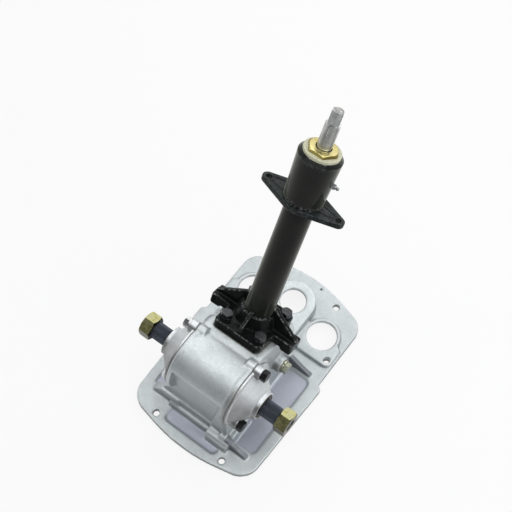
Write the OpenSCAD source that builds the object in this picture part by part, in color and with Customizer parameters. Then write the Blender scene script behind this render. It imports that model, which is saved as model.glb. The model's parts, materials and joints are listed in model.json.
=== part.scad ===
// Manual steering gearbox of a light tractor, millimetres.
// The casting that holds the gear is also the cover of the transmission below it.
// X runs across the tractor, Y to the rear and Z up. Z = 0 is the underside of the base plate,
// and the middle of the rocker shaft is straight above the origin.

/* [Base plate] */
// Thickness of the base plate
plate_t = 12; // [10:1:15]
// Width of the front part of the plate
plate_w = 274; // [268:1:284]
// Width of the rear part of the plate
rear_w = 256; // [250:1:262]
// How much nearer the middle each side is at the front corners
plate_taper = 5; // [2:0.5:8]
// Rocker axis to the front edge
plate_front = 110; // [106:1:118]
// Rocker axis to the rear edge
plate_rear = 296; // [292:1:304]
// Rocker axis to the waist where the plate narrows
waist_y = 128; // [120:1:134]
// How far the middle of the front edge stands out past the corners
front_bow = 13; // [8:1:18]
// How far the middle of the rear edge stands out past the corners
rear_bow = 18; // [12:1:22]
// Radius of the front corners
front_corner_r = 40; // [30:1:46]
// Radius of the rear corners
rear_corner_r = 34; // [26:1:40]
// Radius of the bolt holes through the plate
bolt_hole_r = 6; // [5:0.25:6.5]
// Half the spacing of the front bolt holes
front_hole_x = 73.5; // [70:0.5:80]
// Rocker axis to the front bolt holes
front_hole_y = 88; // [84:1:91]
// Half the spacing of the side bolt holes
side_hole_x = 113.5; // [111:0.5:116]
// Rocker axis to the side bolt holes
side_hole_y = 173; // [170:1:177]
// Half the spacing of the rear bolt holes
rear_hole_x = 66; // [60:1:72]
// Rocker axis to the rear bolt holes
rear_hole_y = 272; // [268:1:276]
// Radius of the blind dowel hole near the rear edge
dowel_r = 2.5; // [2:0.25:4]
// Middle of the plate to the dowel hole, to the right
dowel_x = 22; // [16:1:28]
// Rocker axis to the dowel hole
dowel_y = 286; // [282:1:287]

/* [Lever openings] */
// Half the spacing of the two side openings
lever_x = 78.5; // [76:0.5:82]
// Rocker axis to the side openings
lever_y = 207; // [204:1:210]
// Radius of the side openings
lever_r = 28; // [24:0.5:30]
// Width of the ring round each side opening
lever_rim = 7; // [5:0.5:9]
// Height of the rear pad above the plate
pad_h = 8; // [6:1:12]
// Rocker axis to the front step of the rear pad
pad_front = 161; // [159:1:163]
// Half the width of the rear pad
pad_x = 124; // [122:0.5:125.5]
// Rocker axis to the middle opening
middle_y = 225; // [221:1:229]
// Radius of the middle opening
middle_r = 24; // [20:0.5:26]
// Radius of the boss round the middle opening
middle_boss_r = 42; // [38:1:44]
// Height of the middle boss above the plate
middle_h = 28; // [22:1:32]
// Thickness of the rim at the top of each opening
opening_land = 6; // [5:0.5:8]
// Draft of the openings below the rim
opening_draft = 26; // [15:1:28]

/* [Gear housing] */
// Height of the rocker shaft above the underside
rocker_z = 144; // [140:1:150]
// Outer radius of the barrel
barrel_r = 63; // [62:0.5:65]
// Bore of the barrel
barrel_bore_r = 52; // [51:0.25:53]
// How far each end of the barrel stands out past the case
barrel_stand = 2; // [1:0.5:5]
// Radius of the flange at each end of the barrel
end_flange_r = 64.5; // [63.5:0.5:66]
// Thickness of the flange at each end of the barrel
end_flange_t = 7.5; // [6:0.5:10]
// Width of the gear case below the column
case_w = 116; // [110:1:118]
// Rocker axis to the flat front of the case
case_front = 53; // [50:0.5:56]
// Thickness of the walls of the case
case_wall = 11; // [10:0.5:13]
// Rocker axis to the foot of the rear wall of the case
case_rear = 141; // [138:1:148]
// Corner radius of the case
case_corner_r = 14; // [8:1:18]
// Depth of the sunk panel on the front of the case
panel_sink = 5; // [3:0.5:6]
// How far the right edge of the panel leans in at its foot
panel_lean = 26; // [20:1:30]
// Width of the foot along the front of the case
foot_w = 132; // [126:1:138]
// How far the foot stands in front of the case
foot_reach = 9; // [6:1:12]
// Height of the foot above the plate
foot_h = 9; // [6:1:12]
// Middle of the toe on the foot, to the right
toe_x = 47.5; // [44:0.5:50]
// Width of the toe
toe_w = 47; // [42:1:52]
// How far the toe stands in front of the case
toe_reach = 20; // [16:1:24]
// Height of the toe above the plate
toe_h = 26; // [20:1:30]
// Depth of the shallow pockets in the top of the plate
pocket_d = 2.5; // [1.5:0.5:4]
// Half the span of the gussets on the plate
gusset_x = 107; // [102:1:112]
// Thickness of the gussets
gusset_t = 9; // [7:1:12]
// Height of the gussets against the case
gusset_h = 34; // [24:1:44]
// Rocker axis to the front gussets
gusset_front = 58; // [56:1:60]
// Rocker axis to the rear gussets
gusset_rear = 134; // [130:1:136]
// Rocker axis down to the top of the flank on the left
flank_drop = 62; // [61:1:70]
// Thickness of the flank
flank_t = 16; // [13:1:18]
// Height of the oil filler above the plate
filler_z = 84; // [80:1:92]
// Foot of the rear wall to the oil filler
filler_y = 48; // [44:1:52]
// Radius of the boss round the oil filler
filler_boss_r = 15; // [13:0.5:18]
// How far the filler boss stands out of the case
filler_boss_h = 14; // [10:1:17]

/* [Side covers] */
// Thickness of the gasket under each side cover
gasket_t = 0.8; // [0.5:0.1:1.2]
// Radius of the rim of the covers
cover_r = 62; // [60:0.5:63]
// Thickness of the rim of the covers
cover_t = 4.5; // [3.5:0.5:6]
// Radius of the dome where it meets the rim
dome_r = 57; // [54:1:58]
// Length of the dome
dome_len = 26.5; // [24:0.5:28]
// Radius of the hub that holds the seal
hub_r = 27; // [26:0.5:30]
// Length of the hub
hub_len = 8.2; // [7:0.2:11]
// Depth of the spigot in the barrel
spigot_len = 6; // [4:0.5:8]
// Radius of the circle of the cover bolts
cover_bolt_circle = 59.6; // [59:0.1:60.2]
// Angles of the cover bolts about the rocker shaft
cover_bolt_angles = [61, 230, 302]; // [0:1:360]
// Radius of the ear round each cover bolt
ear_r = 11.5; // [11:0.5:14]
// Thickness of the ears of the covers
ear_t = 14; // [11:0.5:16]

/* [Rocker shaft] */
// Radius of the rocker shaft in its bushes
journal_r = 17.5; // [16.5:0.1:18.5]
// Radius of the shaft between the two covers
rocker_body_r = 22; // [20:0.5:25]
// Wall of the rocker bushes
bush_wall = 3.5; // [2.5:0.25:4.25]
// Length of each rocker bush
bush_len = 30; // [24:1:32]
// Width of each rocker seal
seal_w = 7; // [5:0.5:8]
// Outer radius of each rocker seal
seal_r = 23; // [22.5:0.1:24]
// Radius of the spline over its teeth
spline_r = 15.875; // [15:0.125:16.25]
// Number of spline teeth
spline_n = 36; // [28:1:40]
// Depth of the spline teeth
spline_depth = 1.1; // [0.8:0.1:1.4]
// Length of the bare spline
spline_len = 31.5; // [26:0.5:36]
// Radius of the thread past the spline
rocker_thread_r = 11; // [10:0.5:12]
// Thickness of the rocker nuts
rocker_nut_t = 22; // [18:0.5:24]
// Width of the rocker nuts across their flats
rocker_nut_af = 41; // [36:1:44]
// Thickness of the thrust washers
thrust_t = 3.5; // [2.5:0.25:4.5]

/* [Sector and ball nut] */
// Size of the gear teeth
gear_module = 4; // [3.8:0.05:4.1]
// Teeth that a full wheel of the sector would have
sector_n = 23; // [23:1:24]
// Width of the sector
sector_w = 36; // [30:1:38]
// Play between the teeth
backlash = 0.6; // [0.5:0.1:0.8]
// Distance from the rocker axis to the worm axis
worm_offset = 81.2; // [80:0.2:83]
// Advance of the nut for one turn of the worm
worm_lead = 16; // [14:0.5:18]
// Outer radius of the worm
worm_r = 15; // [14.5:0.1:15.3]
// Length of the worm
worm_len = 108; // [100:1:112]
// Length of the ball nut
nut_len = 72; // [70:1:74]
// Width of the ball nut
nut_w = 44; // [42:0.5:46]
// Worm axis to the rear face of the nut
nut_rear = 23; // [22:0.5:24]
// Radius of the balls in the nut
ball_r = 3.5; // [3.2:0.1:3.6]
// Number of balls in the nut
ball_n = 18; // [14:1:20]
// Radius of the ball return tube
tube_r = 4; // [3.6:0.1:4.4]

/* [Column base] */
// Lean of the column from the vertical
column_tilt = 27.5; // [26:0.5:29]
// Top of the barrel to the seat of the column, along the column
seat_stand = 5; // [4:0.5:8]
// Thickness of the shims under the column
shim_t = 0.6; // [0.3:0.1:1.2]
// Thickness of the base flange
base_t = 16; // [14:0.5:18]
// Width of the base flange
base_w = 96; // [94:1:104]
// Worm axis to the front edge of the base flange
base_front = 62; // [58:1:64]
// Worm axis to the rear edge of the base flange
base_rear = 56; // [55:1:60]
// Half the spacing of the base bolts across the tractor
base_bolt_x = 34.8; // [34:0.2:36]
// Half the spacing of the base bolts fore and aft
base_bolt_y = 42.5; // [42:0.5:43.5]
// Half the span of the two arms
arm_x = 85; // [80:1:92]
// Width of the arms
arm_w = 32; // [28:1:36]
// Worm axis to the middle of the arms
arm_y = 2; // [0:1:5]
// How far the arm ends hang below the base flange
arm_drop = 4; // [2:1:8]
// Height of the webs on the arms where they meet the tube
web_h = 40; // [30:1:46]
// Thickness of the webs
web_t = 9; // [7:0.5:12]

/* [Column tube] */
// Outer radius of the column tube
column_r = 25.6; // [25:0.1:26]
// Wall of the column tube
column_wall = 3.6; // [3:0.2:4.5]
// Base flange to the panel flange
panel_h = 258; // [230:1:290]
// Thickness of the panel flange
panel_t = 9; // [7:0.5:11]
// Half the spacing of the holes in the panel flange
panel_hole_x = 66; // [62:0.5:70]
// Radius of the holes in the panel flange
panel_hole_r = 5; // [4:0.25:6]
// Radius of the ends of the panel flange
panel_end_r = 11.5; // [10:0.5:13]
// Radius of the middle of the panel flange
panel_mid_r = 38; // [36.5:0.5:40]
// Length of the upper sleeve
sleeve_len = 91; // [80:1:100]
// Radius of the sleeve at its foot
sleeve_r = 33.4; // [32.5:0.1:34]
// Radius of the sleeve at its head
sleeve_head_r = 37; // [36:0.25:38]
// Bevel round the head of the sleeve
sleeve_bevel = 5; // [3:0.5:6]
// Panel flange to the grease nipple
nipple_h = 49; // [40:1:58]

/* [Steering shaft] */
// Radius of the steering shaft
shaft_r = 12; // [11.5:0.1:12.4]
// Length of the upper bush
upper_bush_len = 17; // [14:1:22]
// Outer radius of the upper bush
upper_bush_r = 20; // [18.5:0.25:21]
// Thickness of the dust washer
dust_t = 5; // [3:0.5:6]
// Radius of the dust washer
dust_r = 31; // [29:0.2:32]
// Thickness of the hexagon of the bush nut
hex_t = 6; // [5:0.5:8]
// Width of the hexagon across its flats
hex_af = 46; // [44:0.5:50]
// Radius of the hole in the bush nut
hex_hole_r = 13.5; // [13:0.1:15]
// Length of the serrations for the wheel
serration_len = 40; // [34:1:46]
// Number of serrations
serration_n = 36; // [30:1:40]
// Radius over the serrations
serration_r = 12.4; // [12.1:0.1:12.6]
// Radius of the thread at the top of the shaft
top_thread_r = 9; // [8:0.25:9.5]
// Length of the thread at the top of the shaft
top_thread_len = 25; // [20:1:30]

/* [Fits] */
// Gap all round between a shaft and its bush
running_gap = 0.05; // [0.03:0.01:0.08]
// Gap all round of a pressed or threaded piece
seat_gap = 0.02; // [0.01:0.005:0.04]
// Gap all round a bolt in its hole
bolt_gap = 0.5; // [0.3:0.1:0.8]
// Gap between a moving piece and the piece beside it
free_gap = 0.5; // [0.4:0.1:0.7]

/* [Hidden] */
$fn = 64;
left = -1;
right = 1;
over = 1;

// Bolts: shank radius, thickness of the head, width across flats, thickness of the washer
cover_bolt = [5.5, 8.5, 19, 2.5];
base_bolt = [5.5, 8, 19, 2.5];
cover_bolt_grip = 14;
base_bolt_grip = 20;

// Stations out from the middle of the barrel
barrel_len = case_w + 2 * barrel_stand;
barrel_x = barrel_len / 2;
cover_in = barrel_x + gasket_t;
cover_out = cover_in + cover_t;
ear_out = cover_in + ear_t;
dome_out = cover_out + dome_len;
hub_out = dome_out + hub_len;
seal_in = hub_out - seal_w;
spigot_in = cover_in - spigot_len;
spigot_r = barrel_bore_r + 1;
bush_out = seal_in - 2;
spline_in = hub_out + 1.2;
spline_out = spline_in + spline_len;
rocker_end = spline_out + rocker_nut_t - 1.5;
shoulder_x = spigot_in - thrust_t - 0.3;
bush_r = journal_r + bush_wall;
hub_step = 3;
hub_groove = 2;

// Gear teeth
tooth_pitch = PI * gear_module;
pitch_r = gear_module * sector_n / 2;
press_a = 20;
base_r = pitch_r * cos(press_a);
addendum = 0.9 * gear_module;
dedendum = 1.1 * gear_module;
tip_r = pitch_r + addendum;
root_r = pitch_r - dedendum;
sector_teeth = 5;
rack_teeth = 6;
flank_steps = 6;
rack_line = pitch_r - worm_offset;
rack_root = rack_line + dedendum;

// Stations up the column from the rocker axis
base_hub = 22;
seat_h = barrel_r + seat_stand;
base_z = seat_h + shim_t;
base_top = base_z + base_t;
hub_top = base_top + base_hub;
panel_z = base_top + panel_h;
panel_top = panel_z + panel_t;
sleeve_top = panel_top + sleeve_len;
dust_top = sleeve_top + dust_t;
hex_top = dust_top + hex_t;
hex_spigot = 10;
upper_bush_top = sleeve_top - hex_spigot;
tube_top = upper_bush_top - upper_bush_len;
tube_foot = base_z + 14;
serration_z = hex_top + 3;
shaft_top = serration_z + serration_len;
socket_web = 2.6;
nipple_stand = 0.4;

// Bearings of the worm
upper_race_r = 16.2;
upper_cup_r = 24;
upper_cup_top = tube_foot - socket_web;
upper_ball_z = base_z + ball_r + 1;
upper_ball_n = 13;
lower_race_r = 13.5;
lower_cup_r = 20;
lower_ball_z = -72;
lower_cup_foot = -80;
lower_cup_h = 12;
lower_ball_n = 11;
lower_pin_r = 9.5;
collar_r = 13.5;
worm_collar = 6;

// Casting details
leg_stand = 3;
flank_step = 19;
panel_rise = 3;
lip = 1.5;
dowel_d = 5;
ear_skin = 3;
foot_edge_r = 4;
toe_edge_r = 9;
pocket_r = 12;
pocket_rim = 15;
core_web = 9;
core_rise = 84;

// Hollow for the nut in the gear case
nut_room_x = nut_w / 2 + 4;
nut_room_front = -worm_offset + pitch_r - addendum - 3;
nut_room_rear = nut_rear + 13;
nut_room_foot = -66;
nut_room_r = 6;

// Balls in the nut
ball_circle = worm_r + 0.2;
ball_step = (2 * ball_r + 0.4) / ball_circle * 180 / PI;
groove_r = ball_r + 0.4;
chamber_r = ball_circle + ball_r + 0.3;
chamber_h = worm_lead * ball_step * ball_n / 360 / 2 + ball_r + 1;
nut_bore_r = worm_r + 0.6;
worm_points = 18;
worm_slices = 14;
tube_leg = 11;
tube_out = nut_rear + tube_r + 0.5;
clamp_t = 1.6;
clamp_w = 26;
clamp_len = 12;
screw_x = 9.5;
screw_r = 2;

// Point of the column's own side view, in the Y and Z of the part
function lean(y, z) = [
    (y + worm_offset) * cos(column_tilt) + z * sin(column_tilt),
    rocker_z - (y + worm_offset) * sin(column_tilt) + z * cos(column_tilt)
];

// One tooth of a splined end: share of the pitch, share of the depth
spline_tooth = [[0, 0], [0.28, 1], [0.5, 1], [0.78, 0]];

function roll(a) = tan(a) * 180 / PI - a;

// Half the angle of a sector tooth at radius r
function tooth_a(r) =
    90 / sector_n - backlash / 4 / pitch_r * 180 / PI + roll(press_a) - roll(acos(base_r / max(r, base_r)));

function polar(r, a) = [r * cos(a), r * sin(a)];

// Outline of a toothed shaft end
function spline_ring(r, n, depth) = [
    for (i = [0:n - 1], c = spline_tooth) polar(r - depth + depth * c[1], (i + c[0]) * 360 / n)
];

// Radius of the worm at angle a from the middle of its groove
function worm_reach(a) =
    let (z = worm_lead * (a > 180 ? 360 - a : a) / 360)
    min(worm_r, ball_circle - sqrt(max(0, groove_r * groove_r - z * z)));

module on_side(s) {
    if (s < 0) mirror([1, 0, 0]) children();
    else children();
}

module each_side() {
    for (s = [left, right]) on_side(s) children();
}

module at_rocker() {
    translate([0, 0, rocker_z]) children();
}

module at_sector() {
    at_rocker() rotate([-column_tilt, 0, 0]) children();
}

module on_column() {
    at_sector() translate([0, worm_offset, 0]) children();
}

// A side view swept across the part, centred
module across(w) {
    rotate([90, 0, 90]) translate([0, 0, -w / 2]) linear_extrude(height = w) children();
}

// A side view swept out from x0 to x1
module outward(x0, x1) {
    translate([x0, 0, 0]) rotate([90, 0, 90]) linear_extrude(height = x1 - x0) children();
}

// A front view swept along Y, centred
module along(d) {
    rotate([90, 0, 0]) translate([0, 0, -d / 2]) linear_extrude(height = d) children();
}

module rod_x(x0, x1, r) {
    translate([x0, 0, 0]) rotate([0, 90, 0]) cylinder(h = x1 - x0, r = r);
}

module cone_x(x0, x1, r0, r1) {
    translate([x0, 0, 0]) rotate([0, 90, 0]) cylinder(h = x1 - x0, r1 = r0, r2 = r1);
}

module rod_z(z0, z1, r) {
    translate([0, 0, z0]) cylinder(h = z1 - z0, r = r);
}

module round_rect(w, d, r) {
    square([w - 2 * r, d], center = true);
    square([w, d - 2 * r], center = true);
    for (x = [-1, 1], y = [-1, 1]) translate([x * (w / 2 - r), y * (d / 2 - r)]) circle(r);
}

// Hexagon with bevelled corners, standing on z = 0
module hexagon(af, h, both = false) {
    corner_r = af / sqrt(3);
    bevel = corner_r - af / 2;
    intersection() {
        cylinder(h = h, r = corner_r, $fn = 6);
        union() {
            cylinder(h = h - bevel * 0.6, r = corner_r);
            translate([0, 0, h - bevel * 0.6]) cylinder(h = bevel * 0.6, r1 = corner_r, r2 = af / 2 * 0.98);
        }
        if (both) cylinder(h = h + bevel, r1 = af / 2 * 0.98, r2 = af / 2 * 0.98 + (h + bevel) * 1.7);
    }
}

module hex_bolt(b, grip) {
    hexagon(b[2], b[1]);
    rod_z(-grip, over, b[0]);
}

module ring(r0, r1, z0, z1) {
    difference() {
        rod_z(z0, z1, r1);
        rod_z(z0 - over, z1 + over, r0);
    }
}

module at_cover_bolts() {
    for (a = cover_bolt_angles) rotate([a, 0, 0]) translate([0, cover_bolt_circle, 0]) children();
}

module at_base_bolts() {
    for (x = [-1, 1], y = [-1, 1]) translate([x * base_bolt_x, y * base_bolt_y, 0]) children();
}

// Base plate outline: bowed ends, round corners and a waist
module bowed_end(reach, half, bow) {
    bow_r = (half * half + bow * bow) / 2 / bow;
    intersection() {
        translate([0, reach - bow_r]) circle(bow_r, $fn = 360);
        translate([-half, reach - bow]) square([2 * half, bow]);
    }
}

module plate_outline() {
    front_x = plate_w / 2 - front_corner_r - plate_taper;
    rear_x = rear_w / 2 - rear_corner_r;
    shoulder_r = 10;
    hull() {
        mirror([0, 1]) bowed_end(plate_front, front_x, front_bow);
        for (s = [-1, 1]) {
            translate([s * front_x, front_corner_r + front_bow - plate_front]) circle(front_corner_r);
            translate([s * (plate_w / 2 - shoulder_r), waist_y - shoulder_r]) circle(shoulder_r);
        }
    }
    hull() {
        bowed_end(plate_rear, rear_x, rear_bow);
        for (s = [-1, 1]) {
            translate([s * rear_x, plate_rear - rear_bow - rear_corner_r]) circle(rear_corner_r);
            translate([s * (rear_w / 2 - shoulder_r), 0]) circle(shoulder_r);
        }
    }
}

// Gear case: side view with the sloping seat of the column
module case_profile() {
    polygon([
        [-case_front, 0],
        [-case_front, rocker_z],
        [0, rocker_z + barrel_r - 6],
        lean(-base_front, seat_h),
        lean(base_rear, seat_h),
        lean(base_rear, seat_h - 22),
        [case_rear, plate_t],
        [case_rear, 0]
    ]);
}

module gear_case() {
    case_back = lean(base_rear, seat_h)[0];
    intersection() {
        across(case_w) case_profile();
        translate([0, (case_back - case_front) / 2, 0]) linear_extrude(height = rocker_z + 2 * barrel_r)
            round_rect(case_w, case_back + case_front, case_corner_r);
    }
}

// Barrel of the rocker shaft, cut flat in front, with a round flange at each end
module behind(y) {
    translate([-barrel_len, -y, -2 * barrel_r]) cube([2 * barrel_len, 4 * barrel_r, 4 * barrel_r]);
}

module barrel() {
    at_rocker() intersection() {
        rod_x(over - barrel_x, barrel_x - over, barrel_r);
        behind(case_front);
    }
    on_side(left) outward(barrel_x - end_flange_t, barrel_x) end_outline(case_front - panel_sink);
    on_side(right) outward(barrel_x - end_flange_t, barrel_x) end_outline(case_front + leg_stand);
    each_side() at_rocker() at_cover_bolts()
        rod_x(barrel_x - cover_bolt_grip - ear_skin, barrel_x - over, ear_r);
}

// Flange and leg at one end of the barrel
module end_outline(leg_front) {
    translate([0, rocker_z]) cover_outline(end_flange_r);
    translate([-leg_front, 0]) square([leg_front + case_front + leg_stand, rocker_z]);
}

// Foot along the front of the case, with a thicker toe on the right
module toe(w, reach, h, edge_r) {
    across(w) {
        translate([-reach, 0]) square([reach, h - edge_r]);
        translate([edge_r - reach, 0]) square([reach - edge_r, h]);
        translate([edge_r - reach, h - edge_r]) circle(edge_r);
    }
}

module front_foot() {
    toe(foot_w, case_front + foot_reach, plate_t + foot_h, foot_edge_r);
    translate([toe_x, 0, 0]) toe(toe_w, case_front + toe_reach, plate_t + toe_h, toe_edge_r);
}

// Base plate with shallow pockets between the bolt pads, in front and at each side
module base_plate() {
    front_x = front_hole_x - pocket_rim;
    front_y = front_hole_y + 2;
    side_x = plate_w / 2 - pocket_rim - 8;
    side_in = barrel_x;
    side_front = gusset_front - gusset_t;
    side_rear = gusset_rear - gusset_t;
    difference() {
        linear_extrude(height = plate_t) plate_outline();
        translate([0, 0, plate_t - pocket_d]) linear_extrude(height = pocket_d + over) {
            translate([0, -front_y / 2]) round_rect(2 * front_x, front_y, pocket_r);
            for (s = [-1, 1]) translate([s * (side_in + side_x) / 2, (side_rear - side_front) / 2])
                round_rect(side_x - side_in, side_rear + side_front, pocket_r);
        }
    }
}

module plate_gussets() {
    gusset = [
        [case_w / 2 - 10, 0],
        [gusset_x, 0],
        [gusset_x, plate_t + 3],
        [case_w / 2 + 4, plate_t + gusset_h],
        [case_w / 2 - 10, plate_t + gusset_h]
    ];
    each_side() translate([0, gusset_rear, 0]) along(gusset_t) polygon(gusset);
    translate([0, -gusset_front, 0]) along(gusset_t) polygon(gusset);
}

// Web that runs from the left end of the case down to the plate
module front_flank() {
    flank_top = rocker_z - flank_drop;
    flank_y = case_front + leg_stand - flank_t / 2;
    flank = [
        [case_w / 2 - 10, 0],
        [gusset_x, 0],
        [gusset_x, plate_t + 3],
        [gusset_x - flank_step, plate_t + toe_h + panel_rise],
        [case_w / 2 + 6, flank_top],
        [case_w / 2 - 10, flank_top]
    ];
    on_side(left) translate([0, -flank_y, 0]) along(flank_t) polygon(flank);
}

// Raised pads round the three lever openings
module lever_pads() {
    pad_d = lever_y - pad_front;
    linear_extrude(height = plate_t + pad_h) {
        translate([0, pad_front + pad_d / 2]) round_rect(2 * pad_x, pad_d, 12);
        for (s = [-1, 1]) translate([s * lever_x, lever_y]) circle(lever_r + lever_rim);
        translate([-lever_x, lever_y - over]) square([2 * lever_x, lever_rim + over]);
    }
    linear_extrude(height = plate_t + middle_h) {
        translate([0, middle_y]) circle(middle_boss_r);
        translate([-middle_boss_r, case_rear - 10]) square([2 * middle_boss_r, middle_y - case_rear + 10]);
    }
}

module at_plate_holes() {
    holes = [[front_hole_x, -front_hole_y], [side_hole_x, side_hole_y], [rear_hole_x, rear_hole_y]];
    for (s = [-1, 1], p = holes) translate([s * p[0], p[1], 0]) children();
}

module at_filler() {
    translate([0, case_rear - filler_y, plate_t + filler_z]) children();
}

module front_panel_cut() {
    panel_x = case_w / 2 - 9;
    panel_foot = plate_t + toe_h + panel_rise;
    panel_top_z = rocker_z + sqrt(barrel_r * barrel_r - case_front * case_front) - 2;
    panel_y = case_front - panel_sink;
    ring_x = barrel_x - end_flange_t;
    ring_z = rocker_z - sqrt(end_flange_r * end_flange_r - panel_y * panel_y);
    translate([0, -case_front, 0]) along(2 * panel_sink) polygon([
        [-gusset_x, panel_foot],
        [panel_x - panel_lean, panel_foot],
        [panel_x, panel_top_z],
        [-ring_x, panel_top_z],
        [-ring_x, ring_z],
        [-gusset_x, ring_z]
    ]);
}

// Hollows in the underside, in front of the gear and behind it
module under_cores() {
    core_w = case_w - 3 * case_wall;
    front_y = case_front - panel_sink - case_wall;
    front_top = rocker_z - barrel_bore_r - case_wall;
    room_back = lean(nut_room_rear + case_wall, nut_room_foot);
    room_top = lean(nut_room_rear + case_wall, nut_room_foot + core_rise);
    across(core_w) {
        translate([-front_y, -over]) square([front_y - core_web, front_top + over]);
        polygon([
            [room_back[0] - case_wall, -over],
            [case_rear - case_wall, -over],
            [case_rear - case_wall, room_top[1]],
            room_top,
            room_back,
            [room_back[0] - case_wall, room_back[1] - case_wall]
        ]);
    }
}

module nut_room() {
    room_d = nut_room_rear - nut_room_front;
    room_h = seat_h - nut_room_foot + over;
    on_column() {
        translate([0, nut_room_front + room_d / 2, nut_room_foot])
            linear_extrude(height = room_h) round_rect(2 * nut_room_x, room_d, nut_room_r);
        rod_z(lower_cup_foot, nut_room_foot + over, lower_cup_r + seat_gap);
    }
}

// Hole for a lever with a bevelled lip, a thin rim and a wide draft below it
module opening(r, h) {
    draft_h = h - opening_land;
    spread = tan(opening_draft);
    rod_z(-over, h + over, r);
    translate([0, 0, -over]) cylinder(h = draft_h + over, r1 = r + (draft_h + over) * spread, r2 = r);
    translate([0, 0, h - lip]) cylinder(h = lip + over, r1 = r, r2 = r + lip + over);
}

module gear_housing() {
    color("silver") difference() {
        union() {
            base_plate();
            gear_case();
            barrel();
            front_foot();
            plate_gussets();
            front_flank();
            lever_pads();
            at_filler() rod_x(case_w / 2 - 10, case_w / 2 + filler_boss_h, filler_boss_r);
        }
        at_rocker() {
            intersection() {
                rod_x(over - barrel_x, barrel_x - over, barrel_bore_r);
                behind(case_front - case_wall);
            }
            each_side() rod_x(spigot_in - free_gap, barrel_x + over, spigot_r);
        }
        nut_room();
        front_panel_cut();
        under_cores();
        each_side() at_rocker() at_cover_bolts()
            rod_x(barrel_x - cover_bolt_grip, barrel_x + over, cover_bolt[0] + seat_gap);
        on_column() translate([0, 0, seat_h - base_bolt_grip]) at_base_bolts()
            rod_z(0, base_bolt_grip + over, base_bolt[0] + seat_gap);
        at_plate_holes() rod_z(-over, plate_t + pad_h + over, bolt_hole_r);
        for (s = [-1, 1]) translate([s * lever_x, lever_y, 0]) opening(lever_r, plate_t + pad_h);
        translate([0, middle_y, 0]) opening(middle_r, plate_t + middle_h);
        translate([dowel_x, dowel_y, 0]) rod_z(plate_t - dowel_d, plate_t + over, dowel_r);
        at_filler() rod_x(nut_room_x - over, case_w / 2 + filler_boss_h + over, 9 + seat_gap);
    }
}

// Side covers with their seals, bushes and bolts
module cover_outline(r) {
    circle(r);
    for (a = cover_bolt_angles) rotate(a) translate([cover_bolt_circle, 0]) circle(ear_r);
}

module side_cover(s) {
    color("gainsboro") on_side(s) at_rocker() difference() {
        union() {
            outward(cover_in, cover_out) cover_outline(cover_r);
            rod_x(spigot_in, cover_in + over, spigot_r - running_gap);
            cone_x(cover_out, dome_out, dome_r, hub_r + hub_step);
            rod_x(dome_out - over, hub_out - 2 * hub_groove, hub_r);
            rod_x(dome_out - over, hub_out, hub_r - hub_groove / 2);
            rod_x(hub_out - hub_groove, hub_out, hub_r);
            at_cover_bolts() rod_x(cover_in + over, ear_out, ear_r);
        }
        rod_x(spigot_in - over, hub_out + over, journal_r + free_gap);
        rod_x(spigot_in - over, bush_out, bush_r + seat_gap);
        rod_x(seal_in, hub_out + over, seal_r + seat_gap);
        at_cover_bolts() rod_x(cover_in - over, ear_out + over, cover_bolt[0] + bolt_gap);
    }
}

module side_cover_left() { side_cover(left); }

module side_cover_right() { side_cover(right); }

module cover_gasket(s) {
    color("dimgray") on_side(s) at_rocker() difference() {
        outward(barrel_x, cover_in) cover_outline(cover_r);
        rod_x(barrel_x - over, cover_in + over, spigot_r + free_gap);
        at_cover_bolts() rod_x(barrel_x - over, cover_in + over, cover_bolt[0] + bolt_gap);
    }
}

module cover_gasket_left() { cover_gasket(left); }

module cover_gasket_right() { cover_gasket(right); }

module cover_bolts(s) {
    head_x = ear_out + cover_bolt[3];
    on_side(s) at_rocker() at_cover_bolts() translate([head_x, 0, 0]) rotate([0, 90, 0])
        hex_bolt(cover_bolt, head_x - barrel_x + cover_bolt_grip - 1);
}

module cover_bolts_left() { color("darkgray") cover_bolts(left); }

module cover_bolts_right() { color("black") cover_bolts(right); }

module cover_washers(s) {
    on_side(s) at_rocker() at_cover_bolts() translate([ear_out, 0, 0]) rotate([0, 90, 0])
        ring(cover_bolt[0] + 0.2, cover_bolt[2] / 2 + 0.5, 0, cover_bolt[3]);
}

module cover_washers_left() { color("darkgray") cover_washers(left); }

module cover_washers_right() { color("black") cover_washers(right); }

module rocker_bush(s) {
    color("peru") on_side(s) at_rocker() difference() {
        rod_x(bush_out - bush_len, bush_out, bush_r);
        rod_x(bush_out - bush_len - over, bush_out + over, journal_r + running_gap);
    }
}

module rocker_bush_left() { rocker_bush(left); }

module rocker_bush_right() { rocker_bush(right); }

module rocker_seal(s) {
    rim = 1.6;
    color("slategray") on_side(s) at_rocker() difference() {
        rod_x(seal_in, hub_out + 0.8, seal_r);
        rod_x(seal_in - over, hub_out + 2, journal_r + 0.3);
        difference() {
            rod_x(hub_out - 1, hub_out + 2, seal_r - rim);
            rod_x(hub_out - 2, hub_out + 3, journal_r + rim);
        }
    }
}

module rocker_seal_left() { rocker_seal(left); }

module rocker_seal_right() { rocker_seal(right); }

module thrust_washers() {
    color("darkgoldenrod") each_side() at_rocker() difference() {
        rod_x(spigot_in - thrust_t, spigot_in, rocker_body_r + 4);
        rod_x(spigot_in - thrust_t - over, spigot_in + over, journal_r + 0.3);
    }
}

// Rocker shaft with its toothed sector, and the nuts on its ends
module sector_outline() {
    span = (sector_teeth - 1) / 2 * 360 / sector_n + 90 / sector_n + 3;
    circle(rocker_body_r + 3);
    intersection() {
        circle(root_r);
        polygon([[0, 0], polar(2 * root_r, -span), polar(2 * root_r, 0), polar(2 * root_r, span)]);
    }
    for (i = [0:sector_teeth - 1]) rotate((i - (sector_teeth - 1) / 2) * 360 / sector_n) sector_tooth();
}

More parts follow.
